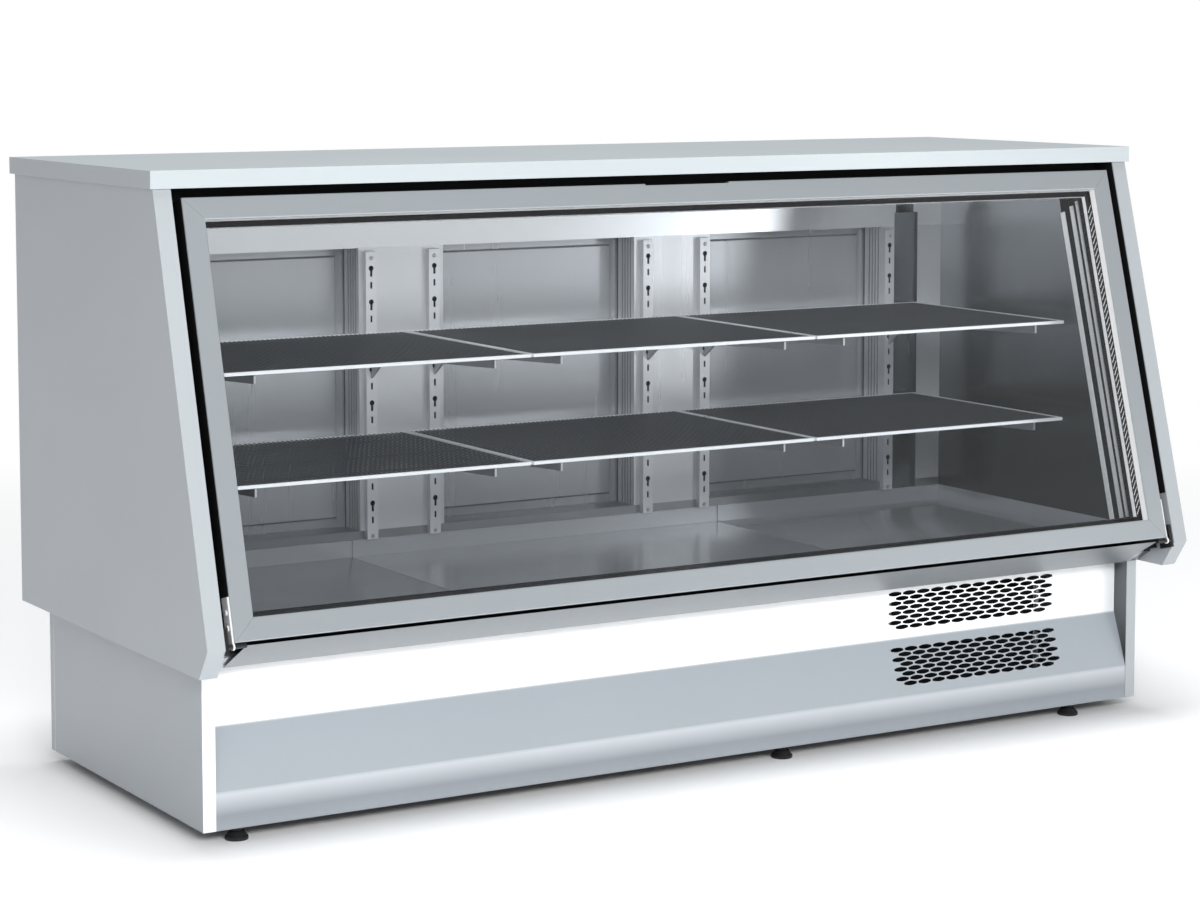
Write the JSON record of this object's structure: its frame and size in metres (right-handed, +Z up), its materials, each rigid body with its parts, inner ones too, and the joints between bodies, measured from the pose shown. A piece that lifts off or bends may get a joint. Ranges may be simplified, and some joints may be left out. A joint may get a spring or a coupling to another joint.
{
  "type": "refrigerated display counter",
  "caption": "Waist-high refrigerated display counter with a leaning glass door that tips forward, mesh shelves, service doors at the back and a vented base.",
  "frame": {"origin": "on the floor under the centre of the counter's bounding box", "axes": "+X along the counter, the glass front faces -Y, +Z up"},
  "size_m": [2, 0.815, 1.065],
  "materials": {
    "powder_grey": "satin grey sheet steel",
    "top_sheet": "satin pale blue-grey sheet",
    "white_sheet": "satin near-white sheet",
    "frame_aluminium": "satin anodised",
    "stainless": "fine brushed stainless steel",
    "zinc": "zinc plated",
    "liner_plastic": "smooth light grey",
    "black_plastic": "fine texture",
    "gasket": "soft matt",
    "glass": "clear",
    "black_steel": "gloss black",
    "fin_aluminium": "thin fins",
    "fan_plastic": "light grey",
    "switch_plastic": "moulded red",
    "copper": "bare copper tube",
    "mesh_steel": "dark grey expanded mesh"
  },
  "bodies": {
    "case": {"worktop": "top_sheet", "side_panel_left": "powder_grey", "side_panel_right": "powder_grey", "side_liner_left": "stainless", "side_liner_right": "stainless", "ceiling_panel": "stainless", "floor_panel": "stainless", "front_fascia": "white_sheet", "door_jamb": "black_plastic", "rear_header": "stainless", "rear_sill": "stainless", "rear_pillars": "stainless", "pipe_cover": "stainless", "deck_tray_left": "stainless", "deck_tray_middle": "stainless", "deck_tray_right": "stainless", "shelf_uprights": "stainless", "shelf_brackets": "stainless", "upper_shelf_left": "mesh_steel", "upper_shelf_middle": "mesh_steel", "upper_shelf_right": "mesh_steel", "lower_shelf_left": "mesh_steel", "lower_shelf_middle": "mesh_steel", "lower_shelf_right": "mesh_steel", "base_chassis": "zinc", "base_side_left": "powder_grey", "base_side_right": "powder_grey", "front_cover": "white_sheet", "back_cover": "zinc", "levelling_feet": "black_plastic", "compressor": "black_steel", "condenser_coil": "fin_aluminium", "condenser_fan_motor": "black_steel", "drain_tray": "black_plastic", "control_box": "black_plastic", "cord_gland": "black_plastic", "evaporator_coil": "fin_aluminium", "evaporator_cover": "stainless", "evaporator_fan_motor": "black_steel", "front_hinge_brackets": "black_steel", "rear_hinge_brackets": "zinc", "refrigerant_lines": "copper"},
    "condenser_fan": {"condenser_fan_blades": "fan_plastic"},
    "evaporator_fan": {"evaporator_fan_blades": "fan_plastic"},
    "power_switch": {"rocker_switch": "switch_plastic"},
    "front_door": {"door_frame": "frame_aluminium", "door_glass_outer": "glass", "door_glass_inner": "glass", "glass_spacer": "black_steel", "door_gasket": "gasket", "door_hinge_leaves": "zinc"},
    "rear_door_left": {"rear_door_left": "stainless", "rear_door_liner_left": "liner_plastic", "rear_door_gasket_left": "gasket"},
    "rear_door_middle": {"rear_door_middle": "stainless", "rear_door_liner_middle": "liner_plastic", "rear_door_gasket_middle": "gasket"},
    "rear_door_right": {"rear_door_right": "stainless", "rear_door_liner_right": "liner_plastic", "rear_door_gasket_right": "gasket"}
  },
  "joints": [
    {"name": "front_door_tilt", "type": "hinge", "parent": "case", "child": "front_door", "pos_m": [0, -0.40136, 0.33651], "axis": [1, 0, 0], "range_deg": [0, 90]},
    {"name": "rear_door_left_swing", "type": "hinge", "parent": "case", "child": "rear_door_left", "pos_m": [-0.368, 0.3835, 0.63], "axis": [0, 0, -1], "range_deg": [0, 95], "stiffness_Nm_per_rad": 0.9, "springref_deg": -14.32},
    {"name": "rear_door_middle_swing", "type": "hinge", "parent": "case", "child": "rear_door_middle", "pos_m": [0.222, 0.3835, 0.63], "axis": [0, 0, -1], "range_deg": [0, 95], "stiffness_Nm_per_rad": 0.9, "springref_deg": -14.32},
    {"name": "rear_door_right_swing", "type": "hinge", "parent": "case", "child": "rear_door_right", "pos_m": [0.812, 0.3835, 0.63], "axis": [0, 0, -1], "range_deg": [0, 95], "stiffness_Nm_per_rad": 0.9, "springref_deg": -14.32},
    {"name": "condenser_fan_spin", "type": "hinge", "parent": "case", "child": "condenser_fan", "pos_m": [0.595, -0.1785, 0.152], "axis": [0, -1, 0], "continuous": true},
    {"name": "evaporator_fan_spin", "type": "hinge", "parent": "case", "child": "evaporator_fan", "pos_m": [0.28, 0.1175, 0.979], "axis": [0, 0, -1], "continuous": true},
    {"name": "power_switch_rock", "type": "hinge", "parent": "case", "child": "power_switch", "pos_m": [-0.06, 0.3505, 0.17], "axis": [1, 0, 0], "range_deg": [-14, 0]}
  ]
}
